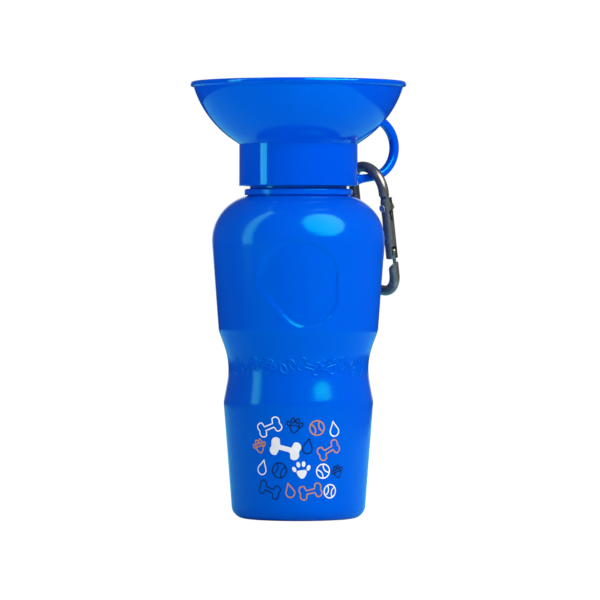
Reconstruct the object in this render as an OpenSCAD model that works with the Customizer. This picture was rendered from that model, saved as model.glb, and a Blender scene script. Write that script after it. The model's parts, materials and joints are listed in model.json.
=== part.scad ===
// Travel water bottle for dogs: a soft squeeze bottle that carries a drinking bowl.
// The bowl and its threaded collar are one moulding. Backing the collar off by half a turn
// lifts the bowl's centre hole off a fixed plug, and squeezing the bottle then fills the bowl.
// A wire-gate carabiner hangs in the carrying loop at the bowl's side.
// Frame: millimetres, +Z up, origin at the centre of the base, front of the bottle towards -Y.

/* [Bottle] */
// Outer radius of the flat ring that the bottle stands on
foot_r = 27; // [26.5:0.1:27.5]
// Radius of the rounded edge between base and side
base_edge_r = 6.5; // [4:0.5:8]
// Outer radius at the ridge below the waist
low_ridge_r = 37.4; // [36.5:0.1:38.5]
// Height of the ridge below the waist
low_ridge_z = 58.4; // [56:0.5:61]
// Smallest outer radius of the waist
waist_r = 35; // [34.6:0.05:35.4]
// Outer radius at the ridge above the waist
high_ridge_r = 39.8; // [39:0.1:40.6]
// Height of the ridge above the waist
high_ridge_z = 93.7; // [92:0.5:96]
// Outer radius under the shoulder, where the bottle is widest
widest_r = 43.35; // [43.1:0.05:43.6]
// Radius of the shoulder's round
shoulder_round_r = 23.2; // [20:0.2:24]
// Wall thickness of the blow-moulded body
wall = 1.3; // [1:0.1:1.6]

/* [Neck] */
// Outer radius of the neck under its thread
neck_r = 24.3; // [23.8:0.1:24.8]
// Inner radius of the neck
neck_bore_r = 21.6; // [21:0.1:21.8]
// Height of the neck's lip
lip_z = 183.5; // [183:0.1:183.8]
// Outer radius of the bead under the neck
bead_r = 27; // [26:0.1:27.6]

/* [Squeeze panel] */
// Depth of the thumb panel in the front wall
panel_depth = 1; // [0.6:0.1:1.2]
// Half width of the thumb panel
panel_half_w = 18.9; // [17:0.1:20]
// Height of the panel's lower edge
panel_low_z = 96.6; // [96:0.1:100]
// Height of the panel's upper edge
panel_top_z = 139.2; // [136:0.1:141]

/* [Bowl and collar] */
// Outer radius of the collar
collar_r = 29.7; // [29.4:0.1:30]
// Inner radius of the collar over its thread
collar_bore_r = 27; // [26.8:0.1:27.2]
// Height of the collar's lower edge
collar_low_z = 166; // [165.5:0.1:167]
// Height of the collar's ceiling, above the gasket
ceiling_z = 186.7; // [186.6:0.1:187]
// Outer radius of the bowl's rim
rim_r = 54.05; // [53:0.05:55]
// Height of the bowl's rim
rim_z = 218.2; // [216:0.1:220]
// Radius of the bowl's side as a section shows it
bowl_curve_r = 51; // [50:0.5:52]
// Wall thickness of the bowl
bowl_wall = 2; // [1.8:0.1:2.2]

/* [Valve] */
// Radius of the hole in the bowl's floor
outlet_r = 5.2; // [4.8:0.1:5.4]
// Bore radius of the skirt under the bowl's floor
skirt_bore_r = 7.2; // [7:0.1:7.4]
// Radius of the spigot that stands in the skirt
spigot_r = 5.9; // [5.7:0.1:6]
// Height of the O-ring on the spigot
seal_z = 180; // [179.5:0.1:180.2]
// Outer radius of the dip tube
tube_r = 4; // [3.5:0.1:4.2]
// Inner radius of the dip tube
tube_bore_r = 3; // [2.5:0.1:3.2]
// Height of the dip tube's lower end
tube_low_z = 8; // [7:0.5:20]

/* [Loop] */
// Direction of the loop, counted from +X towards the back
loop_azimuth = 31; // [30:0.5:32]
// Width of the loop's strap
loop_w = 4.9; // [4.5:0.1:5]
// Thickness of the loop's strap
loop_t = 4.1; // [3.9:0.2:4.3]
// Radius of the loop's middle line
loop_r = 15.1; // [14.9:0.05:15.3]
// Distance of the loop's centre from the bottle's axis
loop_centre_r = 41.45; // [41.2:0.05:41.7]
// Height of the loop's centre
loop_centre_z = 185.85; // [185.6:0.05:186]

/* [Carabiner] */
// Radius of the carabiner's wire
wire_r = 2.6; // [2.3:0.1:2.6]
// Outer radius of the gate's tube
gate_r = 3; // [2.8:0.1:3]
// Radius of the hinge rivet
rivet_r = 1.1; // [1:0.05:1.2]
// Lean of the carabiner away from the bottle's side
carabiner_lean = 13.5; // [13:0.5:14.5]
// Turn of the carabiner about the bottle's axis, from +X towards the front
carabiner_turn = 50; // [48:0.5:52]
// Tilt of the carabiner in its own plane
carabiner_tilt = 6.5; // [5.5:0.5:7.5]

/* [Hidden] */
$fn = 96;
arc_step = 6;
sliver = 0.02;
seal_gap = 0.1;
bottle_blue = [0.00, 0.36, 0.88];
bowl_blue = [0.00, 0.40, 0.92];
insert_white = [0.88, 0.90, 0.92];
seal_grey = [0.55, 0.58, 0.62];
tube_clear = [0.82, 0.88, 0.93];
metal_grey = [0.42, 0.43, 0.44];
steel = [0.72, 0.73, 0.74];

// Bottle: ridges, tapers and the shoulder
low_taper = (low_ridge_r - foot_r - base_edge_r) / (low_ridge_z - base_edge_r);
waist_low_slope = 0.185;
waist_high_slope = 0.364;
widest_z = 139.5;
high_taper = (widest_r - high_ridge_r) / (widest_z - high_ridge_z);
push_up = 4.2;
foot_inner_r = 23.5;
base_corner_r = low_ridge_r - low_taper * low_ridge_z;
waist_corner = meet([low_ridge_r, low_ridge_z], [-waist_low_slope, 1],
    [high_ridge_r, high_ridge_z], [waist_high_slope, 1]);
waist_bend = unit(unit([waist_low_slope, -1]) + unit([waist_high_slope, 1]));
waist_half = acos(unit([waist_low_slope, -1]) * unit([waist_high_slope, 1])) / 2;
waist_fit_r = (waist_r - waist_corner[0]) / (waist_bend[0] / sin(waist_half) - 1);
waist_round_r = max(6, min(48, waist_fit_r));
shoulder_slope = 0.3346;
shoulder_low_z = 160.6;
shoulder_low_r = 27.5;
shoulder_corner = meet([high_ridge_r, high_ridge_z], [high_taper, 1],
    [shoulder_low_r, shoulder_low_z], [-1, shoulder_slope]);
neck_foot_z = shoulder_low_z + (shoulder_low_r - neck_r) * shoulder_slope;
panel_turn_z = 117.4;
panel_turn_round = 5;
panel_left_round = 19;
panel_right_round = 16;
panel_low_round = 11;
bead_low_z = 161.4;
bead_high_z = 164.5;

// Bowl: one arc gives the side, a second one the inner face
bowl_centre = [rim_r - 50, rim_z + 13];
bowl_high_angle = -18.5;
bowl_inner_low_angle = -55;
bowl_inner_high_angle = -18.1;
lip_t = 3.1;
lip_low_z = rim_z - 2.7;
floor_z = 189.6;
outlet_floor_z = 188.7;
skirt_t = 1.6;
skirt_low_z = 175;

// Neck insert: plug skirt, well and spigot
plug_r = neck_bore_r - seal_gap;
plug_t = 1.8;
plug_low_z = 173;
flange_r = 24;
flange_low_z = 184.12;
flange_high_z = 185.5;
well_r = 9.6;
well_t = 1.6;
well_floor_z = 174;
spigot_top_z = 186;
socket_low_z = 157;
tube_stop_z = 170;
groove_r = 5.3;
seal_section_r = 0.88;
window_r = 1.5;
window_z = 183.1;
post_r = 2;

// Loop: the bar that runs back to the collar, and the point that carries the carabiner
loop_arc_high = 92;
strap_edge_r = 1.5;
bar_rise = 8;
bar_end = [loop_centre_r + loop_r * sin(bar_rise), loop_centre_z - loop_r * cos(bar_rise)];
hang_r = 40.6;
hang_z = bar_end[1] - (bar_end[0] - hang_r) * tan(bar_rise);
hang_point = [hang_r * cos(loop_azimuth), hang_r * sin(loop_azimuth), hang_z];

// Carabiner, in its own plane: X across towards the gate, Z along, zero at the top of the wire
hang_u = -0.2;
hang_v = -5.6;
spine_u = -11.1;
top_left_r = 9;
top_right_r = 12.5;
bottom_r = 9.2;
gate_u = 12.3;
arm_low_v = -13.8;
nose_arm_u = 12.8;
nose_arm_v = -48;
bottom_v = -64.1;
rivet_v = -19.7;
tongue_t = 2;
tongue_r = 2.5;
cam_r = 1.5;
cam_u = -0.9;
cam_v = -1.5;
gate_top_v = -14.1;
gate_low_v = -46;
gate_slot_w = 2.3;
hinge_slot_low_v = -26.6;
nose_slot_high_v = -39.6;
nose_slot_w = 2.2;
nose_pocket_w = 3.6;
nose_pocket_low_v = -44.1;
stem_r = 0.9;
stem_u = 13.9;
head_r = 1.45;
head_v = -42.2;
gate_bore_r = 1.6;
gate_bore_low_v = -38.2;
plunger_r = 1.5;
plunger_tip_r = 1.3;
plunger_top_d = 2.95;
plunger_l = 7.2;
spring_wire_r = 0.22;
spring_r = 1.22;
spring_curls = 7;
spring_rings = 8;
spring_sides = 6;

// Helpers for outlines: each corner of a path is [x, y, rounding radius]
function unit(v) = v / norm(v);
function flat(p) = [p[0], p[1]];
function cross2(a, b) = a[0] * b[1] - a[1] * b[0];
function meet(p, d, q, e) = p + d * (cross2(q - p, e) / cross2(d, e));
function wrap(a) = a > 180 ? a - 360 : (a < -180 ? a + 360 : a);
function arc(c, r, a0, a1) =
    let (n = max(1, ceil(abs(a1 - a0) / arc_step)))
    [for (i = [0:n]) [c[0] + r * cos(a0 + (a1 - a0) * i / n), c[1] + r * sin(a0 + (a1 - a0) * i / n), 0]];
function corner(a, b, c) =
    let (
        u = unit(flat(a) - flat(b)),
        w = unit(flat(c) - flat(b)),
        half = acos(max(-1, min(1, u * w))) / 2,
        centre = flat(b) + unit(u + w) * b[2] / sin(half),
        from = flat(b) + u * b[2] / tan(half) - centre,
        to = flat(b) + w * b[2] / tan(half) - centre,
        a0 = atan2(from[1], from[0]),
        a1 = a0 + wrap(atan2(to[1], to[0]) - a0)
    )
    [for (p = arc(centre, b[2], a0, a1)) flat(p)];
function rounded(path) =
    let (n = len(path))
    [for (i = [0:n - 1])
        each (path[i][2] > 0
            ? corner(path[(i + n - 1) % n], path[i], path[(i + 1) % n])
            : [flat(path[i])])];
function left(a, b) = let (d = unit(flat(b) - flat(a))) [-d[1], d[0]];
function inset_corner(a, b, c, d) =
    let (
        n1 = left(a, b),
        n2 = left(b, c),
        p = flat(b) + (n1 + n2) * d / (1 + n1 * n2),
        bend = cross2(flat(b) - flat(a), flat(c) - flat(b))
    )
    [p[0], p[1], max(0, b[2] - d * sign(bend))];

// Outer line of the bottle from the middle of its base up to the shoulder
body_line = [
    [0, push_up, 0],
    [foot_inner_r - 4, push_up - 0.6, 5],
    [foot_inner_r, 0, 1],
    [base_corner_r, 0, base_edge_r],
    [low_ridge_r, low_ridge_z, 12],
    [waist_corner[0], waist_corner[1], waist_round_r],
    [high_ridge_r, high_ridge_z, 10],
    [shoulder_corner[0], shoulder_corner[1], shoulder_round_r],
    [neck_r, neck_foot_z, 0]
];

// The same line moved inwards by d, closed at radius top_r and at height top_z
function body_outline(d, top_r, top_z) =
    let (
        n = len(body_line),
        moved = [for (i = [1:n - 2]) inset_corner(body_line[i - 1], body_line[i], body_line[i + 1], d)],
        top = moved[n - 3],
        foot = meet(flat(top), [-1, shoulder_slope], [top_r, 0], [0, 1])
    )
    rounded(concat(
        [[0, push_up + d, 0]],
        moved,
        [[foot[0], foot[1], 1.5], [top_r, top_z, 0], [0, top_z, 0]]
    ));

module body_solid(d, top_r, top_z) {
    rotate_extrude() polygon(body_outline(d, top_r, top_z));
}

// Egg-shaped outline of the thumb panel, seen from the front
module panel_prism(grow) {
    w = panel_half_w + grow;
    low = panel_low_z - grow;
    top = panel_top_z + grow;
    outline = [
        [-w, top, panel_left_round + grow],
        [w, top, panel_right_round + grow],
        [w, low, panel_low_round + grow],
        [-0.5 - grow / 2, low, panel_low_round + grow],
        [-w, panel_turn_z - grow / 2, panel_turn_round + grow]
    ];
    rotate([90, 0, 0]) linear_extrude(height = 60) polygon(rounded(outline));
}

module squeeze_bottle() {
    color(bottle_blue) difference() {
        union() {
            difference() {
                body_solid(0, neck_r, lip_z);
                difference() {
                    panel_prism(0);
                    body_solid(panel_depth, neck_r, lip_z);
                }
            }
            neck_bead();
        }
        difference() {
            body_solid(wall, neck_bore_r, lip_z + 1);
            difference() {
                panel_prism(wall);
                body_solid(wall + panel_depth, neck_bore_r, lip_z + 1);
            }
        }
    }
}

module neck_bead() {
    rotate_extrude() polygon(rounded([
        [neck_bore_r + 1, bead_low_z, 0],
        [bead_r, bead_low_z, 0.5],
        [bead_r, bead_high_z, 0.9],
        [neck_bore_r + 1, bead_high_z, 0]
    ]));
}

// The bowl's one moulding is drawn in two parts that meet inside its floor: dish, and collar with loop
split_z = ceiling_z + 1;
split_angle = asin((split_z - bowl_centre[1]) / bowl_curve_r);
split_r = bowl_centre[0] + bowl_curve_r * cos(split_angle);

// Section of the dish
dish_section = concat(
    arc(bowl_centre, bowl_curve_r, split_angle, bowl_high_angle),
    [[rim_r - 1.55, lip_low_z - 0.1, 0.3], [rim_r, lip_low_z + 0.1, 1.1], [rim_r, rim_z, 1.3]],
    [[rim_r - lip_t, rim_z, 1.2]],
    arc(bowl_centre, bowl_curve_r - bowl_wall, bowl_inner_high_angle, bowl_inner_low_angle),
    [[30.06, floor_z, 7.5], [outlet_r, outlet_floor_z, 0.5], [outlet_r, split_z, 0]]
);

// Section of the collar with the skirt of the valve
collar_section = concat(
    [[collar_bore_r, collar_low_z, 0.4], [collar_r + 0.05, collar_low_z, 0.4]],
    [[collar_r - 0.1, ceiling_z + 0.6, 0]],
    [[split_r - sliver, split_z - sliver, 0], [outlet_r, split_z - sliver, 0], [outlet_r, ceiling_z, 0]],
    [[skirt_bore_r, ceiling_z, 0], [skirt_bore_r, skirt_low_z, 0.4]],
    [[skirt_bore_r + skirt_t, skirt_low_z, 0.4], [skirt_bore_r + skirt_t, ceiling_z, 0.6]],
    [[collar_bore_r, ceiling_z, 0.1]]
);

// Everything inside the dish and the collar's wall, which the loop's ends stay out of
module bowl_inside() {
    out_r = bowl_curve_r + sliver;
    rotate_extrude() polygon(concat(
        [[0, split_z], [split_r, split_z]],
        [for (p = arc(bowl_centre, out_r, split_angle, bowl_high_angle)) flat(p)],
        [[0, rim_z]]
    ));
    translate([0, 0, collar_low_z - 1]) cylinder(h = 30, r = collar_r - 1);
}

module strap_section() {
    a = loop_t / 2;
    b = loop_w / 2;
    corners = [[-a, -b], [a, -b], [a, b], [-a, b]];
    polygon(rounded([for (p = corners) [p[0], p[1], strap_edge_r]]));
}

module loop() {
    bar_l = (bar_end[0] - collar_r + 2) / cos(bar_rise);
    bar_root = bar_end - bar_l * [cos(bar_rise), sin(bar_rise)];
    difference() {
        rotate([0, 0, loop_azimuth]) {
            translate([loop_centre_r, 0, loop_centre_z]) rotate([90, 0, 0])
                rotate_extrude(angle = 90 - bar_rise + loop_arc_high, start = bar_rise - 90)
                    translate([loop_r, 0]) strap_section();
            translate([bar_root[0], 0, bar_root[1]]) rotate([0, 90 - bar_rise, 0])
                linear_extrude(height = bar_l) strap_section();
        }
        bowl_inside();
    }
}

module bowl() {
    color(bowl_blue) rotate_extrude() polygon(rounded(dish_section));
}

module bowl_collar() {
    color(bowl_blue) union() {
        rotate_extrude() polygon(rounded(collar_section));
        loop();
    }
}

// Section of the insert: plug skirt in the neck, flange on the lip, well and hollow spigot
insert_section = [
    [tube_r + sliver, socket_low_z, 0],
    [tube_r + 1.7, socket_low_z, 0.4],
    [tube_r + 1.7, well_floor_z - well_t, 1],
    [well_r + well_t, well_floor_z - well_t, 1.2],
    [well_r + well_t, flange_low_z, 0.8],
    [plug_r - plug_t, flange_low_z, 0.6],
    [plug_r - plug_t, plug_low_z, 0.3],
    [plug_r, plug_low_z, 0.6],
    [plug_r, flange_low_z, 0],
    [flange_r, flange_low_z, 0],
    [flange_r, flange_high_z, 0.4],
    [well_r, flange_high_z, 0.5],
    [well_r, well_floor_z, 0.8],
    [spigot_r, well_floor_z, 0.5],
    [spigot_r, seal_z - 1, 0],
    [groove_r, seal_z - 1, 0],
    [groove_r, seal_z + 1, 0],
    [spigot_r, seal_z + 1, 0],
    [spigot_r, spigot_top_z, 0.5],
    [post_r, spigot_top_z, 0],
    [post_r, spigot_top_z + 1.7, 0.3],
    [0, spigot_top_z + 1.7, 0],
    [0, window_z + window_r, 0],
    [tube_bore_r, window_z + window_r, 0.8],
    [tube_bore_r, tube_stop_z, 0],
    [tube_r + sliver, tube_stop_z, 0]
];

module neck_insert() {
    color(insert_white) difference() {
        rotate_extrude() polygon(rounded(insert_section));
        for (a = [0, 90])
            translate([0, 0, window_z]) rotate([90, 0, a])
                cylinder(h = 2 * spigot_r + 2, r = window_r, center = true);
    }
}

module ring(r_in, r_out, z_low, z_high) {
    rotate_extrude() polygon([[r_in, z_low], [r_out, z_low], [r_out, z_high], [r_in, z_high]]);
}

module insert_gasket() {
    color(seal_grey) ring(neck_bore_r + 0.1, flange_r - 0.1, lip_z + sliver, flange_low_z);
}

module spigot_seal() {
    color(seal_grey) translate([0, 0, seal_z]) rotate_extrude()
        translate([groove_r + sliver + seal_section_r, 0]) circle(r = seal_section_r);
}

module valve_plug() {
    plug_low = spigot_top_z;
    color(seal_grey) rotate_extrude() polygon(rounded([
        [post_r + sliver, plug_low, 0],
        [outlet_r - 0.08, plug_low, 0],
        [outlet_r - 0.08, outlet_floor_z + 0.4, 1.4],
        [0.6, outlet_floor_z + 1.2, 0],
        [0, outlet_floor_z + 1.2, 0],
        [0, plug_low + 1.75, 0],
        [post_r + sliver, plug_low + 1.75, 0]
    ]));
}

module dip_tube() {
    color(tube_clear) difference() {
        ring(tube_bore_r, tube_r, tube_low_z, tube_stop_z);
        translate([0, 0, tube_low_z]) rotate([0, 35, 0]) translate([-10, -10, -10]) cube([20, 20, 10]);
    }
}

module collar_gasket() {
    color(seal_grey)
        ring(neck_bore_r - 1, collar_bore_r - seal_gap, flange_high_z + 0.03, ceiling_z - sliver);
}

// Puts what is drawn in the carabiner's plane where it hangs in the loop
module hang() {
    translate(hang_point) rotate([0, 0, -carabiner_turn]) rotate([carabiner_lean, 0, 0])
        rotate([0, carabiner_tilt, 0]) translate([-hang_u, 0, -hang_v]) children();
}

module wire_arc(u, v, r, a0, a1) {
    translate([u, 0, v]) rotate([90, 0, 0]) rotate_extrude(angle = a1 - a0, start = a0)
        translate([r, 0]) circle(r = wire_r);
}

module wire_line(u0, v0, u1, v1) {
    l = norm([u1 - u0, v1 - v0]);
    translate([u0, 0, v0]) rotate([0, atan2(u1 - u0, v1 - v0), 0]) cylinder(h = l, r = wire_r);
}

// Flat tongue that the gate turns on, with the cam that the plunger presses
module tongue() {
    difference() {
        translate([gate_u, tongue_t / 2, rivet_v]) rotate([90, 0, 0])
        linear_extrude(height = tongue_t) union() {
            circle(r = tongue_r);
            translate([cam_u, cam_v]) circle(r = cam_r);
            polygon([
                [-tongue_r, 0],
                [tongue_r, 0],
                [1.2, arm_low_v - rivet_v + 1],
                [-3.4, arm_low_v - rivet_v + 1]
            ]);
        }
        translate([gate_u, 0, rivet_v]) rotate([90, 0, 0])
            cylinder(h = tongue_t + 2, r = rivet_r + 0.06, center = true);
    }
}

// Lower arm: its end is cut at a slant, and the headed stem stands on the outer side
module nose_arm() {
    difference() {
        wire_line(nose_arm_u, bottom_v + bottom_r, nose_arm_u, nose_arm_v + 0.5);
        translate([nose_arm_u + wire_r, 0, nose_arm_v + 0.3]) rotate([0, -42, 0])
            translate([-10, -5, 0]) cube([20, 10, 10]);
    }
    translate([stem_u, 0, nose_arm_v - 3]) cylinder(h = head_v - nose_arm_v + 3, r = stem_r, $fn = 32);
    translate([stem_u, 0, head_v]) sphere(r = head_r, $fn = 32);
}

module carabiner_frame() {
    top_right_u = gate_u - 1.2 - top_right_r;
    color(metal_grey) hang() union() {
        wire_line(spine_u, bottom_v + bottom_r, spine_u, -top_left_r);
        wire_arc(spine_u + top_left_r, -top_left_r, top_left_r, 90, 180);
        wire_line(spine_u + top_left_r, 0, top_right_u, 0);
        wire_arc(top_right_u, -top_right_r, top_right_r, 0, 90);
        wire_line(gate_u - 1.2, arm_low_v, gate_u - 1.2, -top_right_r);
        tongue();
        wire_arc(spine_u + bottom_r, bottom_v + bottom_r, bottom_r, 180, 270);
        wire_line(spine_u + bottom_r, bottom_v, nose_arm_u - bottom_r, bottom_v);
        wire_arc(nose_arm_u - bottom_r, bottom_v + bottom_r, bottom_r, -90, 0);
        nose_arm();
    }
}

module carabiner_gate() {
    color(metal_grey) hang() translate([gate_u, 0, 0]) difference() {
        translate([0, 0, gate_low_v]) cylinder(h = gate_top_v - gate_low_v, r = gate_r);
        translate([gate_r, 0, gate_top_v]) rotate([0, -21, 0]) translate([-15, -5, 0]) cube([20, 10, 10]);
        translate([-5, -gate_slot_w / 2, hinge_slot_low_v]) cube([10, gate_slot_w, 20]);
        translate([-5, -nose_slot_w / 2, gate_low_v - 1])
            cube([10, nose_slot_w, nose_slot_high_v - gate_low_v + 1]);
        translate([0, -nose_pocket_w / 2, nose_pocket_low_v])
            cube([10, nose_pocket_w, nose_slot_high_v - nose_pocket_low_v]);
        translate([0, 0, gate_bore_low_v]) cylinder(h = rivet_v - 2 - gate_bore_low_v, r = gate_bore_r);
        translate([0, 0, rivet_v]) rotate([90, 0, 0])
            cylinder(h = 2 * gate_r + 2, r = rivet_r + sliver, center = true);
    }
}

module gate_rivet() {
    head_t = 0.5;
    color(steel) hang() translate([gate_u, 0, rivet_v]) rotate([90, 0, 0]) union() {
        cylinder(h = 2 * gate_r + head_t, r = rivet_r, center = true);
        for (side = [-1, 1])
            translate([0, 0, side * (gate_r + head_t / 2 + sliver)])
                cylinder(h = head_t, r = rivet_r + 0.8, center = true);
    }
}

module gate_plunger() {
    top_v = rivet_v - plunger_top_d;
    color(steel) hang() translate([gate_u, 0, 0]) union() {
        translate([0, 0, top_v - plunger_tip_r]) sphere(r = plunger_tip_r);
        translate([0, 0, top_v - plunger_l]) cylinder(h = plunger_l - plunger_tip_r, r = plunger_tip_r);
        translate([0, 0, top_v - plunger_l]) cylinder(h = 1, r = plunger_r);
    }
}

// Coil spring as one tube: rings of points along a helix, joined side by side
spring_low_v = gate_bore_low_v + spring_wire_r + 0.03;
spring_high_v = rivet_v - plunger_top_d - plunger_l - spring_wire_r - 0.03;
spring_steps = spring_curls * spring_rings;
function spring_ring(k) =
    let (
        a = 360 * k / spring_rings,
        v = spring_low_v + (spring_high_v - spring_low_v) * k / spring_steps
    )
    [for (s = [0:spring_sides - 1])
        let (b = 360 * s / spring_sides, r = spring_r + spring_wire_r * cos(b))
        [r * cos(a), r * sin(a), v + spring_wire_r * sin(b)]];
spring_points = [for (k = [0:spring_steps]) each spring_ring(k)];
spring_sides_faces = [for (k = [0:spring_steps - 1], s = [0:spring_sides - 1])
    let (
        a = k * spring_sides + s,
        b = k * spring_sides + (s + 1) % spring_sides
    )
    each [[a, b, b + spring_sides], [a, b + spring_sides, a + spring_sides]]];
spring_ends = concat(
    [for (s = [1:spring_sides - 2]) [0, s + 1, s]],
    [for (s = [1:spring_sides - 2]) [0, s, s + 1] + [1, 1, 1] * spring_steps * spring_sides]
);
spring_least_gap = min([for (i = [0:spring_sides - 1], j = [0:spring_sides - 1])
    norm(spring_ring(spring_rings)[i] - spring_ring(0)[j])]);
echo(spring_least_gap = spring_least_gap);

module gate_spring() {
    color(steel) hang() translate([gate_u, 0, 0])
        polyhedron(points = spring_points, faces = concat(spring_sides_faces, spring_ends));
}

squeeze_bottle();
bowl();
bowl_collar();
neck_insert();
insert_gasket();
spigot_seal();
valve_plug();
dip_tube();
collar_gasket();
carabiner_frame();
carabiner_gate();
gate_rivet();
gate_plunger();
gate_spring();
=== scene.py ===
"""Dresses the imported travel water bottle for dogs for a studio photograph.

The bottle, its bowl with the carrying loop, the threads, the printed figures and the carabiner are
built here as finer pieces that stand for the CAD nodes. The inner pieces of the valve keep their
CAD shape and get their materials. Sizes of pieces are in millimetres until a mesh is written. The
camera, the lamps and the materials are in metres.
"""

import json
import logging
import math
from dataclasses import dataclass
from enum import Enum
from functools import cache, cached_property
from typing import Callable, Sequence

import bmesh
import bpy
import numpy as np
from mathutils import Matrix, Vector


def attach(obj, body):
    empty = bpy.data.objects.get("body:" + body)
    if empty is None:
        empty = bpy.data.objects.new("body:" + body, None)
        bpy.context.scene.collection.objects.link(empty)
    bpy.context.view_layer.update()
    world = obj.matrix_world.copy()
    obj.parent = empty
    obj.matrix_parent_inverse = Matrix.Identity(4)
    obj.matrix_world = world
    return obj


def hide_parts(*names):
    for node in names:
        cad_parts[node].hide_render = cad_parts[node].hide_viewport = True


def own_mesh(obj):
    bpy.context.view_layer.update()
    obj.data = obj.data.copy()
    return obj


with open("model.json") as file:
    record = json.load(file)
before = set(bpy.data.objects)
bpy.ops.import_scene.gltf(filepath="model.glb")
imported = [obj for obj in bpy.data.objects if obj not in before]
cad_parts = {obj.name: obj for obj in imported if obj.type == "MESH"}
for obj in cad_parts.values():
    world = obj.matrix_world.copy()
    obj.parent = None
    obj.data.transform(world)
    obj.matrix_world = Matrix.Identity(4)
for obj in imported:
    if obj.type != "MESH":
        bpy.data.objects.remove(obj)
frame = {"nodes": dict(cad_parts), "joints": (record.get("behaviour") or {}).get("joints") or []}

LOG = logging.getLogger("bottle")

# A millimetre in metres, a length too short to see, and a square of one
MM = 0.001
TINY = 1e-6
NIL = 1e-12

# The rise of both screw threads over a turn, and the angle at which they start, in radians
THREAD_PITCH = 4.8
THREAD_START = 0.4

# A corner is a point with the radius of its rounding, and colours are linear
Point = tuple[float, float]
Place = tuple[float, float, float]
Corner = tuple[float, float, float]
Colour = tuple[float, float, float]
Faces = list[list[int]]


# Outlines

def unit(v: Sequence[float]) -> np.ndarray:
    """Returns v scaled to length one."""
    a = np.asarray(v, float)
    return a / np.linalg.norm(a)


def turned(p: Point, degrees: float) -> Point:
    """Returns a point turned about the origin."""
    c, s = math.cos(math.radians(degrees)), math.sin(math.radians(degrees))
    return (p[0] * c - p[1] * s, p[0] * s + p[1] * c)


def meet(p: Point, d: Point, q: Point, e: Point) -> Point:
    """Finds where two lines cross.

    Args:
        p: A point of the first line.
        d: Its direction.
        q: A point of the second line.
        e: Its direction.

    Returns:
        The crossing point.
    """
    cross = d[0] * e[1] - d[1] * e[0]
    t = ((q[0] - p[0]) * e[1] - (q[1] - p[1]) * e[0]) / cross
    return (p[0] + d[0] * t, p[1] + d[1] * t)


def arc(centre: Point, radius: float, start: float, end: float, step: float = 2.5) -> list[Point]:
    """Lists points along an arc.

    Args:
        centre: The arc's centre.
        radius: Its radius.
        start: First angle in degrees.
        end: Last angle in degrees.
        step: Largest angle between two points, in degrees.

    Returns:
        The points, both ends included.
    """
    n = max(1, math.ceil(abs(end - start) / step))
    turns = [math.radians(start + (end - start) * i / n) for i in range(n + 1)]
    return [(centre[0] + radius * math.cos(a), centre[1] + radius * math.sin(a)) for a in turns]


def rounded(path: Sequence[Corner], step: float = 6.0, closed: bool = False) -> list[Point]:
    """Rounds the corners of a path.

    Args:
        path: Corners as (x, y, rounding radius).
        step: Largest angle between two points of a round, in degrees.
        closed: Whether the last corner joins the first one.

    Returns:
        The points of the rounded path.
    """
    out: list[Point] = []
    n = len(path)
    for i, (x, y, r) in enumerate(path):
        if r <= 0 or (not closed and i in (0, n - 1)):
            out.append((x, y))
            continue
        here = np.array([x, y])
        u = unit(np.array(path[(i - 1) % n][:2]) - here)
        w = unit(np.array(path[(i + 1) % n][:2]) - here)
        half = math.acos(max(-1.0, min(1.0, float(u @ w)))) / 2
        centre = here + unit(u + w) * r / math.sin(half)
        a = here + u * r / math.tan(half) - centre
        b = here + w * r / math.tan(half) - centre
        start = math.degrees(math.atan2(a[1], a[0]))
        turn = (math.degrees(math.atan2(b[1], b[0])) - start + 180) % 360 - 180
        out += arc((centre[0], centre[1]), r, start, start + turn, step)
    return out


def spaced(path: Sequence[Point], gap: float | Callable[[Point], float]) -> list[Point]:
    """Adds points to a path so that no step is too long.

    Args:
        path: The path's points.
        gap: The longest step, as a number or as a function of the step's middle.

    Returns:
        The path with the added points.
    """
    out = [path[0]]
    for a, b in zip(path, path[1:]):
        length = math.hypot(b[0] - a[0], b[1] - a[1])
        if length < TINY:
            continue
        middle = ((a[0] + b[0]) / 2, (a[1] + b[1]) / 2)
        n = max(1, math.ceil(length / (gap(middle) if callable(gap) else gap)))
        out += [(a[0] + (b[0] - a[0]) * i / n, a[1] + (b[1] - a[1]) * i / n)
                for i in range(1, n + 1)]
    return out


def stepped(line: list[Point], closed: bool, gap: float) -> list[Point]:
    """Returns an open or closed line with added points, none of them twice."""
    return spaced(line + line[:1], gap)[:-1] if closed else spaced(line, gap)


def fading(run: float, share: float, reach: float, fade: float) -> float:
    """Returns a share that holds over a reach and then fades away."""
    return share * math.exp(-max(run - reach, 0) / fade)


def smooth(t: np.ndarray) -> np.ndarray:
    """Returns the smooth step of t between 0 and 1."""
    t = np.clip(t, 0, 1)
    return t * t * (3 - 2 * t)


def hill(x: np.ndarray, width: float) -> np.ndarray:
    """Returns a bell curve of height one over x."""
    return np.exp(-(x / width) ** 2)


def outline_distance(points: np.ndarray, outline: Sequence[Point]) -> np.ndarray:
    """Measures points against a closed outline.

    Args:
        points: Array of shape (n, 2).
        outline: The closed outline's points.

    Returns:
        Distances, negative inside the outline.
    """
    a = np.array(outline, float)
    b = np.roll(a, -1, axis=0)
    best = np.full(len(points), np.inf)
    inside = np.zeros(len(points), bool)
    for p, q in zip(a, b):
        edge = q - p
        t = np.clip(((points - p) @ edge) / max(float(edge @ edge), NIL), 0, 1)
        best = np.minimum(best, np.linalg.norm(points - p - t[:, None] * edge, axis=1))
        crosses = (p[1] > points[:, 1]) != (q[1] > points[:, 1])
        if abs(edge[1]) > NIL:
            x = p[0] + (points[:, 1] - p[1]) / edge[1] * edge[0]
            inside ^= crosses & (points[:, 0] < x)
    return np.where(inside, -best, best)


# Meshes

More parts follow.
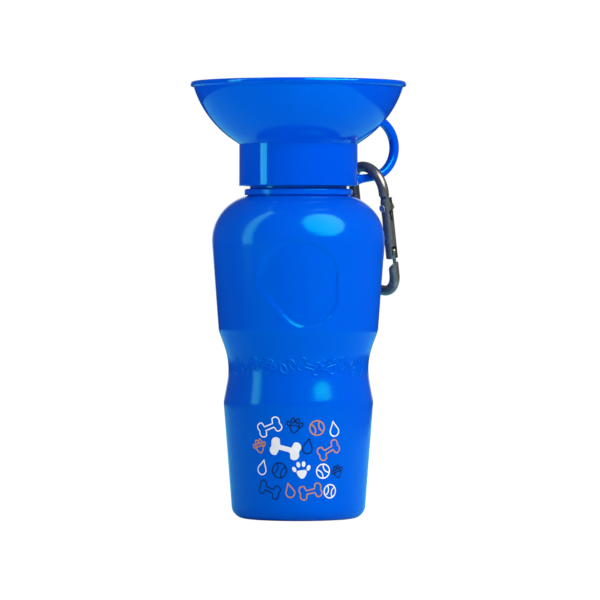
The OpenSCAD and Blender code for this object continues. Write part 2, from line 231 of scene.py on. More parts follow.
def link(name: str, data: bpy.types.ID) -> bpy.types.Object:
    """Makes an object of a mesh, lamp or camera and links it to the scene."""
    obj = bpy.data.objects.new(name, data)
    bpy.context.scene.collection.objects.link(obj)
    return obj


def piece(name: str, points: np.ndarray, faces: Sequence[Sequence[int]]) -> bpy.types.Object:
    """Makes a smooth-shaded object at the origin.

    Args:
        name: The piece's name.
        points: Array of shape (n, 3) in millimetres.
        faces: Corner numbers of each face.

    Returns:
        The new object, linked to the scene.
    """
    mesh = bpy.data.meshes.new(name)
    mesh.from_pydata((np.asarray(points, float) * MM).tolist(), [], [list(f) for f in faces])
    mesh.validate()
    mesh.shade_smooth()
    return link(name, mesh)


def lathe(name: str, outline: Sequence[Point], sides: int) -> bpy.types.Object:
    """Turns a closed outline about the Z axis.

    Args:
        name: The piece's name.
        outline: Points (radius, height) in order, the last one joined to the first.
            Points on the axis become poles.
        sides: Faces round the axis.

    Returns:
        The turned piece, its faces pointing outwards.
    """
    turn = np.arange(sides) * 2 * math.pi / sides
    points: list[Place] = []
    rings: list[list[int]] = []
    for r, z in outline:
        if r < TINY:
            rings.append([len(points)] * sides)
            points.append((0.0, 0.0, z))
        else:
            rings.append(list(range(len(points), len(points) + sides)))
            points += [(r * math.cos(a), r * math.sin(a), z) for a in turn]
    faces: Faces = []
    for ring, above in zip(rings, rings[1:] + rings[:1]):
        if ring[0] == ring[1] and above[0] == above[1]:
            continue
        for i in range(sides):
            j = (i + 1) % sides
            corners = [ring[i], ring[j], above[j], above[i]]
            faces.append([c for k, c in enumerate(corners) if c != corners[k - 1]])
    return face_outwards(piece(name, np.array(points), faces))


def sweep(name: str, stations: Sequence[np.ndarray]) -> bpy.types.Object:
    """Joins closed sections of equal size into a bar with closed ends.

    Args:
        name: The piece's name.
        stations: Arrays of shape (n, 3), one for each section.

    Returns:
        The swept piece, its faces pointing outwards.
    """
    n = len(stations[0])
    points = np.vstack(stations)
    faces = [[k * n + i, k * n + (i + 1) % n, (k + 1) * n + (i + 1) % n, (k + 1) * n + i]
             for k in range(len(stations) - 1) for i in range(n)]
    faces += [list(range(n)), list(range(len(points) - n, len(points)))]
    return face_outwards(piece(name, points, faces))


def face_outwards(obj: bpy.types.Object) -> bpy.types.Object:
    """Merges the doubles of a closed mesh and turns its faces outwards.

    Args:
        obj: The piece.

    Returns:
        The same piece.
    """
    merge = 1e-7
    bm = bmesh.new()
    bm.from_mesh(obj.data)
    bmesh.ops.remove_doubles(bm, verts=bm.verts, dist=merge)
    bmesh.ops.recalc_face_normals(bm, faces=bm.faces)
    bm.to_mesh(obj.data)
    bm.free()
    return obj


def crease(obj: bpy.types.Object, degrees: float) -> None:
    """Keeps edges that turn by more than an angle sharp in the shading."""
    obj.data.shade_smooth()
    obj.data.set_sharp_from_angle(angle=math.radians(degrees))


def cad_copy(node: str, name: str, bevel: float = 0.0) -> bpy.types.Object:
    """Copies a CAD node as one smooth-shaded mesh with softened edges.

    Args:
        node: The CAD node's name.
        name: The piece's name.
        bevel: Width of the edge round in millimetres, 0 for none.

    Returns:
        The copy, at the origin.
    """
    merge, flat, bevel_from, sharp_from = 2e-6, math.radians(0.5), math.radians(35), 32
    bm = bmesh.new()
    bm.from_mesh(frame["nodes"][node].data)
    bmesh.ops.remove_doubles(bm, verts=bm.verts, dist=merge)
    bmesh.ops.dissolve_limit(bm, angle_limit=flat, verts=bm.verts, edges=bm.edges)
    mesh = bpy.data.meshes.new(name)
    bm.to_mesh(mesh)
    bm.free()
    obj = link(name, mesh)
    if bevel:
        round_edges = obj.modifiers.new("round_edges", "BEVEL")
        round_edges.width = bevel * MM
        round_edges.segments = 2
        round_edges.limit_method = "ANGLE"
        round_edges.angle_limit = bevel_from
        round_edges.harden_normals = False
    crease(obj, sharp_from)
    return obj


def joint(name: str) -> dict[str, object]:
    """Returns a joint of the frame."""
    return next(j for j in frame["joints"] if j["name"] == name)


def aim(obj: bpy.types.Object, place: Place, at: Place) -> None:
    """Puts a lamp or camera at a place and turns it to face a point."""
    obj.location = place
    obj.rotation_euler = (Vector(at) - Vector(place)).to_track_quat("-Z", "Y").to_euler()


# Node trees

class Wiring:
    """Adds and joins the nodes of one tree."""

    prefix: str = "ShaderNode"

    def __init__(self, tree: bpy.types.NodeTree) -> None:
        """Wraps a node tree."""
        self.tree = tree

    def feed(self, node: bpy.types.Node, inputs: dict[str | int, object]) -> None:
        """Sets inputs of a node.

        Args:
            node: The node.
            inputs: Sockets to link or plain values, by input name or number.
        """
        for key, given in inputs.items():
            if isinstance(given, bpy.types.NodeSocket):
                self.tree.links.new(given, node.inputs[key])
            else:
                node.inputs[key].default_value = given

    def node(self, kind: str, inputs: dict[str | int, object] | None = None,
             **settings: object) -> bpy.types.Node:
        """Adds a node.

        Args:
            kind: The node type without the tree's usual prefix, or in full.
            inputs: Sockets to link or plain values, by input name or number.
            settings: Properties of the node itself.

        Returns:
            The node.
        """
        made = self.tree.nodes.new(kind if "Node" in kind else self.prefix + kind)
        for key, setting in settings.items():
            setattr(made, key, setting)
        self.feed(made, inputs or {})
        return made

    def math(self, operation: str, *given: object) -> bpy.types.NodeSocket:
        """Adds a Math node on up to three values and returns its result."""
        return self.node("ShaderNodeMath", dict(enumerate(given)), operation=operation).outputs[0]

    def vector(self, operation: str, inputs: dict[str | int, object]) -> bpy.types.NodeSocket:
        """Adds a Vector Math node and returns its result."""
        return self.node("ShaderNodeVectorMath", inputs, operation=operation).outputs[0]


class ShapeTree(Wiring):
    """Builds one Geometry Nodes tree with named inputs."""

    prefix: str = "GeometryNode"

    def __init__(self, name: str) -> None:
        """Makes an empty tree with one geometry output."""
        super().__init__(bpy.data.node_groups.new(name, "GeometryNodeTree"))
        self.tree.interface.new_socket("Geometry", in_out="OUTPUT",
                                       socket_type="NodeSocketGeometry")
        self.identifiers: dict[str, str] = {}
        self.source = self.tree.nodes.new("NodeGroupInput")
        self.result = self.tree.nodes.new("NodeGroupOutput")

    def value(self, name: str, kind: str) -> bpy.types.NodeSocket:
        """Adds a named input.

        Args:
            name: The input's name.
            kind: Its socket type without the NodeSocket prefix.

        Returns:
            The input's socket inside the tree.
        """
        made = self.tree.interface.new_socket(name, in_out="INPUT", socket_type=f"NodeSocket{kind}")
        self.identifiers[name] = made.identifier
        return next(s for s in self.source.outputs if s.identifier == made.identifier)

    def rod(self, curve: bpy.types.Node, radius: bpy.types.NodeSocket, sides: int,
            share: bpy.types.NodeSocket | float = 1.0) -> bpy.types.NodeSocket:
        """Makes a curve a round rod with closed ends.

        Args:
            curve: The node that gives the curve.
            radius: The rod's radius.
            sides: Faces round the rod.
            share: The share of the radius that it has along the curve.

        Returns:
            The rod's geometry.
        """
        section = self.node("CurvePrimitiveCircle", {"Resolution": sides, "Radius": radius})
        return self.node("CurveToMesh", {
            "Curve": curve.outputs[0], "Profile Curve": section.outputs[0],
            "Scale": share, "Fill Caps": True}).outputs[0]

    def close(self, geometry: bpy.types.NodeSocket, material: bpy.types.NodeSocket) -> None:
        """Ends the tree with Realize Instances, Set Material and smooth shading.

        Args:
            geometry: The finished geometry.
            material: The material input.
        """
        real = self.node("RealizeInstances", {"Geometry": geometry})
        dressed = self.node("SetMaterial", {"Geometry": real.outputs[0], "Material": material})
        shaded = self.node("SetShadeSmooth", {"Geometry": dressed.outputs[0],
                                              "Shade Smooth": True})
        self.feed(self.result, {0: shaded.outputs[0]})

    def grow(self, name: str, **values: object) -> bpy.types.Object:
        """Runs the tree and keeps its result as a plain mesh.

        Args:
            name: The new piece's name.
            values: The tree's inputs by name.

        Returns:
            The new object, at the origin.
        """
        host = link(f"{name}_host", bpy.data.meshes.new(f"{name}_host"))
        modifier = host.modifiers.new("grow", "NODES")
        modifier.node_group = self.tree
        for key, given in values.items():
            modifier[self.identifiers[key]] = given
        bpy.context.view_layer.update()
        graph = bpy.context.evaluated_depsgraph_get()
        mesh = bpy.data.meshes.new_from_object(host.evaluated_get(graph))
        host.modifiers.remove(modifier)
        bpy.data.objects.remove(host)
        mesh.name = name
        return link(name, mesh)


@cache
def thread_tree() -> ShapeTree:
    """Makes the tree of a screw thread: a round rib on a helix that fades out at both ends.

    Returns:
        The tree, built once.
    """
    steps, sides, fade_rate, fade_power, thinnest = 240, 14, 14.0, 0.6, 0.05
    tree = ShapeTree("screw_thread")
    radius, low, pitch = (tree.value(n, "Float") for n in ("Radius", "Low", "Pitch"))
    turns, rib, phase = (tree.value(n, "Float") for n in ("Turns", "Rib", "Phase"))
    material = tree.value("Material", "Material")
    line = tree.node("CurvePrimitiveLine", {"Start": (0, 0, 0), "End": (0, 0, 1)})
    points = tree.node("ResampleCurve", {"Curve": line.outputs[0], "Count": steps})
    along = tree.node("SplineParameter").outputs["Factor"]
    turn = tree.math("MULTIPLY", along, turns)
    angle = tree.math("ADD", tree.math("MULTIPLY", turn, math.tau), phase)
    place = tree.node("ShaderNodeCombineXYZ", {
        "X": tree.math("MULTIPLY", tree.math("COSINE", angle), radius),
        "Y": tree.math("MULTIPLY", tree.math("SINE", angle), radius),
        "Z": tree.math("ADD", tree.math("MULTIPLY", turn, pitch), low)})
    helix = tree.node("SetPosition", {"Geometry": points.outputs[0], "Position": place.outputs[0]})
    edge = tree.math("MINIMUM", along, tree.math("SUBTRACT", 1.0, along))
    rise = tree.math("POWER", tree.math("MULTIPLY", edge, fade_rate), fade_power)
    share = tree.math("MAXIMUM", tree.math("MINIMUM", rise, 1.0), thinnest)
    ribbed = tree.node("SetCurveRadius", {"Curve": helix.outputs[0], "Radius": share})
    size = tree.node("InputRadius").outputs[0]
    tree.close(tree.rod(ribbed, rib, sides, size), material)
    return tree


@cache
def relief_tree() -> ShapeTree:
    """Makes the tree of raised lines that follow the bottle's wall.

    The lines come flat, with X as the way round the wall in radians and Z as the height. Each
    point is thrown at the wall from outside, level and straight towards the axis.

    Returns:
        The tree, built once.
    """
    throw_from, throw_length, sides = 0.06, 0.1, 10
    tree = ShapeTree("wall_relief")
    wall, lines = tree.value("Wall", "Object"), tree.value("Lines", "Object")
    rib, sink = tree.value("Rib", "Float"), tree.value("Sink", "Float")
    material = tree.value("Material", "Material")
    source = tree.node("ObjectInfo", {"Object": lines})
    curve = tree.node("MeshToCurve", {"Mesh": source.outputs["Geometry"]})
    at = tree.node("ShaderNodeSeparateXYZ", {0: tree.node("InputPosition").outputs[0]})
    out = tree.node("ShaderNodeCombineXYZ", {
        "X": tree.math("SINE", at.outputs["X"]),
        "Y": tree.math("MULTIPLY", tree.math("COSINE", at.outputs["X"]), -1.0)}).outputs[0]
    far = tree.vector("SCALE", {0: out, "Scale": throw_from})
    lift = tree.node("ShaderNodeCombineXYZ", {"Z": at.outputs["Z"]})
    target = tree.node("ObjectInfo", {"Object": wall})
    hit = tree.node("Raycast", {
        "Target Geometry": target.outputs["Geometry"], "Ray Length": throw_length,
        "Source Position": tree.vector("ADD", {0: far, 1: lift.outputs[0]}),
        "Ray Direction": tree.vector("SCALE", {0: out, "Scale": -1.0})})
    down = tree.vector("SCALE", {0: hit.outputs["Hit Normal"],
                                 "Scale": tree.math("MULTIPLY", sink, -1.0)})
    bent = tree.node("SetPosition", {"Geometry": curve.outputs[0], "Offset": down,
                                     "Position": hit.outputs["Hit Position"]})
    tree.close(tree.rod(bent, rib, sides), material)
    return tree


# Finishes

class Shader(Wiring):
    """Builds one material or shader group."""

    def mix(self, factor: object, a: object, b: object) -> bpy.types.NodeSocket:
        """Mixes two colours by a factor and returns the colour."""
        return self.node("Mix", {0: factor, 6: a, 7: b}, data_type="RGBA").outputs[2]

    def ramp(self, value: object, low: float, high: float) -> bpy.types.NodeSocket:
        """Stretches a value so that low becomes 0 and high becomes 1."""
        return self.node("MapRange", {0: value, 1: low, 2: high}).outputs[0]

    def noise(self, at: bpy.types.NodeSocket, scale: object, detail: float = 2.0,
              roughness: float = 0.5) -> bpy.types.NodeSocket:
        """Adds a noise texture and returns its value."""
        return self.node("TexNoise", {"Vector": at, "Scale": scale, "Detail": detail,
                                      "Roughness": roughness}).outputs[0]


def group(name: str, inputs: dict[str, tuple[str, object]],
          outputs: dict[str, str]) -> tuple[Shader, bpy.types.Node, bpy.types.Node]:
    """Makes an empty shader group.

    Args:
        name: The group's name.
        inputs: Socket type and default value by input name.
        outputs: Socket type by output name.

    Returns:
        The wrapped tree, its input node and its output node.
    """
    tree = bpy.data.node_groups.new(name, "ShaderNodeTree")
    for key, (kind, default) in inputs.items():
        made = tree.interface.new_socket(key, in_out="INPUT", socket_type=f"NodeSocket{kind}")
        made.default_value = default
    for key, kind in outputs.items():
        tree.interface.new_socket(key, in_out="OUTPUT", socket_type=f"NodeSocket{kind}")
    return Shader(tree), tree.nodes.new("NodeGroupInput"), tree.nodes.new("NodeGroupOutput")


@cache
def moulding_group() -> bpy.types.NodeTree:
    """Makes the shader group of moulded plastic: faint flow clouds, grain and rubbed patches.

    Returns:
        The group, built once.
    """
    rub_scale, rub_detail, rub_roughness = 3.1, 5.0, 0.65
    wave_scale, wave_height, grain_detail = 1.7, 6.0, 3.0
    sh, given, result = group("moulded_surface", {
        "Colour": ("Color", (0.5, 0.5, 0.5, 1)), "Deep Colour": ("Color", (0.4, 0.4, 0.4, 1)),
        "Cloud Size": ("Float", 20.0), "Gloss": ("Float", 0.2), "Rubbed": ("Float", 0.35),
        "Grain Size": ("Float", 1500.0)},
        {"Colour": "Color", "Roughness": "Float", "Height": "Float"})
    at = sh.node("TexCoord").outputs["Object"]
    size = given.outputs["Cloud Size"]
    rub = sh.noise(at, sh.math("MULTIPLY", size, rub_scale), rub_detail, rub_roughness)
    rough = sh.node("MapRange", {0: sh.ramp(rub, 0.52, 0.72), 3: given.outputs["Gloss"],
                                 4: given.outputs["Rubbed"]}).outputs[0]
    grain = sh.noise(at, given.outputs["Grain Size"], grain_detail)
    wave = sh.noise(at, sh.math("MULTIPLY", size, wave_scale))
    sh.feed(result, {
        "Colour": sh.mix(sh.ramp(sh.noise(at, size), 0.3, 0.7), given.outputs["Deep Colour"],
                         given.outputs["Colour"]),
        "Roughness": rough,
        "Height": sh.math("ADD", grain, sh.math("MULTIPLY", wave, wave_height))})
    return sh.tree


@cache
def wear_group() -> bpy.types.NodeTree:
    """Makes the shader group of handled metal: fine scratches and worn patches.

    Returns:
        The group, built once.
    """
    scratch_stretch, scratch_detail = (1.0, 1.0, 0.12), 4.0
    patch_size, patch_detail, patch_roughness = 160.0, 6.0, 0.6
    worn_colour, worn_roughness, scratch_roughness = 0.45, 0.12, 0.08
    sh, given, result = group("handled_metal", {
        "Colour": ("Color", (0.5, 0.5, 0.5, 1)), "Worn Colour": ("Color", (0.8, 0.8, 0.8, 1)),
        "Gloss": ("Float", 0.2), "Scratch Size": ("Float", 900.0)},
        {"Colour": "Color", "Roughness": "Float", "Height": "Float"})
    at = sh.node("TexCoord").outputs["Object"]
    long = sh.node("Mapping", {"Vector": at, "Scale": scratch_stretch}).outputs[0]
    line = sh.ramp(sh.noise(long, given.outputs["Scratch Size"], scratch_detail), 0.62, 0.7)
    worn = sh.ramp(sh.noise(at, patch_size, patch_detail, patch_roughness), 0.56, 0.74)
    marks = sh.math("ADD", sh.math("MULTIPLY", worn, worn_roughness),
                    sh.math("MULTIPLY", line, scratch_roughness))
    sh.feed(result, {
        "Colour": sh.mix(sh.math("MULTIPLY", worn, worn_colour), given.outputs["Colour"],
                         given.outputs["Worn Colour"]),
        "Roughness": sh.math("ADD", given.outputs["Gloss"], marks),
        "Height": sh.math("MULTIPLY", line, -1.0)})
    return sh.tree


def opaque(c: Sequence[float]) -> tuple[float, float, float, float]:
    """Returns a colour with full alpha."""
    return (c[0], c[1], c[2], 1.0)


@dataclass(frozen=True)
class Finish:
    """A finish made from one shader group and a Principled surface."""

    name: str
    colour: Colour
    second: Colour
    gloss: float
    rubbed: float = 0.35
    metallic: float = 0.0
    ior: float = 1.45
    tint: Colour = (1.0, 1.0, 1.0)
    bump: float = 0.02
    bump_depth: float = 0.0002
    cloud: float = 22.0
    grain: float = 1400.0

    def body(self, sh: Shader) -> bpy.types.Node:
        """Adds the shader group that fits the finish.

        Args:
            sh: The material's wrapped tree.

        Returns:
            The group node, with the finish's values.
        """
        given: dict[str | int, object] = {"Colour": opaque(self.colour), "Gloss": self.gloss}
        if self.metallic:
            given |= {"Worn Colour": opaque(self.second), "Scratch Size": self.grain}
            return sh.node("Group", given, node_tree=wear_group())
        given |= {"Deep Colour": opaque(self.second), "Cloud Size": self.cloud,
                  "Rubbed": self.rubbed, "Grain Size": self.grain}
        return sh.node("Group", given, node_tree=moulding_group())

    def material(self) -> bpy.types.Material:
        """Builds the material, or finds it if it exists.

        Returns:
            The material.
        """
        found = bpy.data.materials.get(self.name)
        if found:
            return found
        made = bpy.data.materials.new(self.name)
        made.use_nodes = True
        made.diffuse_color = opaque(self.colour)
        sh = Shader(made.node_tree)
        body = self.body(sh)
        bump = sh.node("Bump", {"Strength": self.bump, "Distance": self.bump_depth,
                                "Height": body.outputs["Height"]})
        sh.feed(made.node_tree.nodes["Principled BSDF"], {
            "Metallic": self.metallic, "IOR": self.ior, "Specular Tint": opaque(self.tint),
            "Base Color": body.outputs["Colour"], "Roughness": body.outputs["Roughness"],
            "Normal": bump.outputs[0]})
        return made


class Ink(Enum):
    """The printing inks, as linear colours."""

    WHITE = (0.86, 0.9, 0.94)
    ORANGE = (0.62, 0.26, 0.035)
    NAVY = (0.002, 0.012, 0.085)

    def finish(self) -> Finish:
        """Returns the ink's finish, faintly uneven in colour."""
        deep = tuple(c * 0.93 for c in self.value)
        return Finish(f"ink_{self.name.lower()}", self.value, deep, 0.35, 0.42, ior=1.3,
                      tint=(0.5, 0.8, 0.8), bump=0.03, cloud=300.0, grain=5000.0)


BOTTLE_PLASTIC = Finish("soft_blue_plastic", (0.0, 0.1, 0.73), (0.0, 0.095, 0.7), 0.14, 0.18,
                        ior=1.35, tint=(0.0, 1.0, 0.25), bump=0.03, grain=1800.0)
BOWL_PLASTIC = Finish("glossy_blue_plastic", (0.0, 0.086, 0.71), (0.0, 0.082, 0.68), 0.05, 0.08,
                      ior=1.5, tint=(0.0, 1.0, 0.8), bump=0.006, cloud=16.0, grain=900.0)
INSERT_PLASTIC = Finish("white_valve_plastic", (0.74, 0.77, 0.8), (0.66, 0.7, 0.74), 0.3, 0.42,
                        bump=0.04)
TUBE_PLASTIC = Finish("milky_tube", (0.62, 0.72, 0.82), (0.55, 0.66, 0.78), 0.18, 0.26, bump=0.03)
SILICONE = Finish("grey_silicone", (0.27, 0.3, 0.34), (0.22, 0.25, 0.29), 0.5, 0.62, bump=0.08,
                  grain=2600.0)
GUNMETAL = Finish("anodised_wire", (0.155, 0.144, 0.134), (0.36, 0.35, 0.34), 0.25, metallic=0.5,
                  bump=0.05)
STEEL = Finish("bright_steel", (0.4, 0.39, 0.38), (0.6, 0.59, 0.58), 0.24, metallic=0.55,
               bump=0.05)


def dress(obj: bpy.types.Object, finish: Finish) -> bpy.types.Object:
    """Gives a piece one finish and returns it."""
    obj.data.materials.clear()
    obj.data.materials.append(finish.material())
    return obj


def hand_over(obj: bpy.types.Object, body: str, slot: str, *nodes: str) -> None:
    """Lets a piece ride on its body and reports it.

    Args:
        obj: The finished piece.
        body: The body it rides on.
        slot: Its material slot. Not used.
        nodes: The CAD nodes it stands for.
    """
    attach(obj, body)
    if nodes:
        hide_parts(*nodes)
    LOG.info("%s rides on %s with %d faces", obj.name, body, len(obj.data.polygons))


def screw_thread(name: str, radius: float, low: float, turns: float, rib: float,
                 finish: Finish) -> bpy.types.Object:
    """Grows a screw thread.

    Args:
        name: The piece's name.
        radius: Radius of the rib's middle line.
        low: Height at which the rib starts.
        turns: Number of turns.
        rib: Radius of the rib.
        finish: The thread's finish.

    Returns:
        The thread, dressed.
    """
    return thread_tree().grow(name, Radius=radius * MM, Low=low * MM, Pitch=THREAD_PITCH * MM,
                              Turns=turns, Rib=rib * MM, Phase=THREAD_START,
                              Material=finish.material())


# Figures

class Motif(Enum):
    """The figures of the print and of the grip relief."""

    BONE = "bone"
    PAW = "paw"
    BALL = "ball"
    DROP = "drop"


def oval(centre: Point, half: Point, lean: float, count: int) -> list[Point]:
    """Returns the outline of a leaning oval, from its centre and its two half widths."""
    points = (turned((half[0] * math.cos(a), half[1] * math.sin(a)), lean)
              for a in np.linspace(0, math.tau, count, endpoint=False))
    return [(centre[0] + x, centre[1] + z) for x, z in points]


def bone() -> list[list[Point]]:
    """Returns a bone's outline: four knobs and a straight shaft."""
    knob, across, up, shaft = 0.17, 0.36, 0.14, (0.2, 0.085)
    right, left = arc((across, up), knob, -38, 130, 14), arc((-across, up), knob, 50, 218, 14)
    top = right + [shaft, (-shaft[0], shaft[1])] + left
    return [top + [(-x, -z) for x, z in top]]


def paw() -> list[list[Point]]:
    """Returns a paw's outlines: a pad with a wavy edge and four leaning toes."""
    low, wide, high, swell, wave = -0.17, 0.27, 0.22, 0.12, 0.05
    pad = [(wide * math.cos(a) * (1 + swell * math.sin(a)),
            low + high * math.sin(a) + wave * math.cos(2 * a))
           for a in np.linspace(0, math.tau, 24, endpoint=False)]
    toes = ((-0.38, 0.08, 24), (-0.14, 0.3, 8), (0.14, 0.3, -8), (0.38, 0.08, -24))
    return [pad] + [oval((x, z), (0.1, 0.15), lean, 16) for x, z, lean in toes]


def ball() -> list[list[Point]]:
    """Returns a ball's outline and its two open seams."""
    radius, seam_at, seam = 0.5, 0.62, 0.48
    return [arc((0, 0), radius, 0, 348, 12), arc((-seam_at, 0), seam, -50, 50, 10),
            arc((seam_at, 0), seam, 130, 230, 10)]


def drop() -> list[list[Point]]:
    """Returns a drop's outline: a round foot that runs up to a tip."""
    tip, side = (0.0, 0.62), ((0.09, 0.4), (0.22, 0.18))
    foot = arc((0, -0.12), 0.34, 150, 390, 14)
    return [[tip] + [(-x, z) for x, z in side] + foot + list(side[::-1])]


def figure_lines(motif: Motif) -> list[tuple[list[Point], bool]]:
    """Draws a figure of about width one round the origin.

    Args:
        motif: The figure.

    Returns:
        Its lines, each with whether it is closed. Only the seams of a ball are open.
    """
    drawn = {Motif.BONE: bone, Motif.PAW: paw, Motif.BALL: ball, Motif.DROP: drop}[motif]()
    return [(line, motif is not Motif.BALL or k == 0) for k, line in enumerate(drawn)]


# Bottle

@dataclass
class SqueezeBottle:
    """The soft bottle with its ridges, waist, thumb panel, grip relief and neck."""

    # Outer line, from the base up: corners as (radius, height, rounding), slopes as (out, up)
    foot_hollow: float = 4.2
    hollow_edge: Corner = (19.5, 3.6, 5.0)
    foot_ring: Corner = (23.5, 0.0, 1.0)
    foot_edge: Corner = (33.01, 0.0, 6.5)
    low_ridge: Corner = (37.4, 58.4, 12.0)
    waist_fall: Point = (-0.185, 1.0)
    waist_round: float = 34.1
    waist_rise: Point = (0.364, 1.0)
    high_ridge: Corner = (39.8, 93.7, 10.0)
    chest_rise: Point = (0.07751, 1.0)
    shoulder_round: float = 23.2
    shoulder_fall: Point = (-1.0, 0.3346)
    shoulder_end: Corner = (27.5, 160.6, 2.5)

    # Neck: its radius, its foot as (radius, height), the bead as (radius, bottom, top), its lip
    neck: float = 24.3
    neck_foot: Point = (25.5, 161.0)
    bead: Place = (27.0, 161.4, 164.5)
    lip: float = 183.5

    # Inside: the neck's bore, the corner below it, and where the offset line starts
    wall: float = 1.3
    bore: float = 21.6
    bore_low: float = 160.0
    bore_edge: Corner = (25.5, 161.3, 2.0)
    inner_from: Point = (3.0, 1.2)

    # Mesh: faces round the axis, degrees per step of a round, millimetres per step of a line
    sides: int = 280
    outer_turn: float = 5.0
    inner_turn: float = 8.0
    fine_step: float = 0.75
    coarse_step: float = 2.4
    fine_zone: Point = (93.0, 142.0)
    side_zone: Point = (6.6, 160.0)
    sharp_from: float = 40.0

    # Thumb panel: its left and right, its bottom and top, the ends of its slanted side, the
    # roundings from the top left on, and each side's share of the slope round it
    panel_sides: Point = (-18.0, 19.0)
    panel_ends: Point = (96.8, 136.9)
    panel_foot: float = -1.0
    panel_knee: float = 117.0
    panel_rounds: tuple[float, ...] = (18.0, 15.5, 14.5, 11.0, 6.0)
    left_share: float = 0.95
    right_share: float = 0.25
    low_share: float = 0.35
    top_share: float = 0.6
    foot_share: float = 0.5

    # How it is pressed: within heights and beyond a radius, with a groove and a swell inside it
    press_zone: Point = (90.0, 145.0)
    press_from: float = 36.0
    panel_depth: float = 0.95
    panel_slope: float = 3.6
    groove_depth: float = 0.14
    groove_width: float = 0.6
    swell_height: float = 0.1
    swell_width: float = 0.9
    swell_inset: float = 1.6

    # Thread: radius and lowest height of its middle line, turns, and radius of the rib
    thread: tuple[float, float, float, float] = (24.75, 168.9, 1.6, 1.25)

    # Grip relief: a row of figures at a height, to an angle on both sides, leaning in turn
    relief_kinds: tuple[Motif, ...] = (Motif.DROP, Motif.BONE, Motif.PAW, Motif.BALL,
                                       Motif.BONE, Motif.PAW, Motif.BONE, Motif.DROP)
    relief_radius: float = 35.0
    relief_height: float = 76.4
    relief_reach: float = 61.0
    relief_leans: Point = (-18.0, 24.0)
    relief_rib: float = 0.7
    relief_sink: float = 0.3
    relief_step: float = 0.6

    def corners(self) -> list[Corner]:
        """Lists the outer line's corners from the base's middle to the shoulder's end.

        Returns:
            The corners, where each ridge's two slopes meet their neighbours'.
        """
        low, high, end = self.low_ridge, self.high_ridge, self.shoulder_end
        waist = meet(low[:2], self.waist_fall, high[:2], self.waist_rise)
        shoulder = meet(high[:2], self.chest_rise, end[:2], self.shoulder_fall)
        return [(0.0, self.foot_hollow, 0.0), self.hollow_edge, self.foot_ring, self.foot_edge,
                low, (*waist, self.waist_round), high, (*shoulder, self.shoulder_round), end]

    def step(self, p: Point) -> float:
        """Returns the outer line's longest step at a point: fine where the panel is pressed."""
        low, high = self.fine_zone
        return self.fine_step if low < p[1] < high else self.coarse_step

    @cached_property
    def outer(self) -> list[Point]:
        """The outer line, with the bead and the neck on it."""
        foot, foot_low = self.neck_foot
        bead, bead_low, bead_high = self.bead
        neck = [(foot, foot_low, 0.2), (foot, bead_low, 0.1), (bead, bead_low, 0.5),
                (bead, bead_high, 0.9), (self.neck, bead_high, 0.35), (self.neck, self.lip, 0.5),
                (self.bore, self.lip, 0.0)]
        return spaced(rounded(self.corners() + neck, self.outer_turn), self.step)

    def radius(self, z: float) -> float:
        """Returns the outer radius at a height between base and shoulder."""
        line = [p for p in self.outer if self.side_zone[0] < p[1] < self.side_zone[1]]
        return float(np.interp(z, [p[1] for p in line], [p[0] for p in line]))

    def inner_line(self) -> list[Point]:
        """Works out the inner line of the wall.

        Returns:
            The line, from the bore down to the base's middle.
        """
        line = rounded([*self.corners()[:-1], self.bore_edge], self.inner_turn)
        normals = [unit((b[1] - a[1], a[0] - b[0])) for a, b in zip(line, line[2:])]
        moved = [(p[0] - n[0] * self.wall, p[1] - n[1] * self.wall)
                 for p, n in zip(line[1:-1], normals)]
        radius, height = self.inner_from
        inside = [p for p in moved if p[0] > radius and p[1] > height]
        return [(self.bore, self.bore_low), *inside[::-1], (0.0, self.foot_hollow + self.wall)]

    def panel(self, out: float) -> list[Point]:
        """Draws the thumb panel's egg outline, seen from the front.

        Args:
            out: How far it is grown outwards. Each side takes its own share of this, because
                the slope round the panel is wide on the left and narrow on the right.

        Returns:
            The closed outline.
        """
        left = self.panel_sides[0] - self.left_share * out
        right = self.panel_sides[1] + self.right_share * out
        low = self.panel_ends[0] - self.low_share * out
        top = self.panel_ends[1] + self.top_share * out
        foot = self.panel_foot - self.foot_share * out
        knee = self.panel_knee - self.top_share * out
        places = ((left, top), (right, top), (right, low), (foot, low), (left, knee))
        corners = [(*p, r + out) for p, r in zip(places, self.panel_rounds)]
        return rounded(corners, self.outer_turn, closed=True)

    def press_panel(self, obj: bpy.types.Object) -> None:
        """Presses the thumb panel into the wall, with a soft slope and a fine groove at its edge.

        Args:
            obj: The wall.
        """
        co = np.empty(len(obj.data.vertices) * 3)
        obj.data.vertices.foreach_get("co", co)
        co = co.reshape(-1, 3) / MM
        radius = np.hypot(co[:, 0], co[:, 1])
        low, high = self.press_zone
        front = (co[:, 1] < 0) & (co[:, 2] > low) & (co[:, 2] < high) & (radius > self.press_from)
        at = co[front][:, [0, 2]]
        outside = outline_distance(at, self.panel(self.panel_slope))
        inside = outline_distance(at, self.panel(0.0))
        slope = -outside / np.maximum(inside - outside, TINY)
        share = np.where(outside > 0, 0.0, np.where(inside < 0, 1.0, slope))
        depth = self.panel_depth * smooth(share)
        depth += self.groove_depth * hill(inside, self.groove_width)
        depth -= self.swell_height * hill(inside + self.swell_inset, self.swell_width)
        co[front, :2] *= (1 - depth / radius[front])[:, None]
        obj.data.vertices.foreach_set("co", (co * MM).ravel())
        obj.data.update()

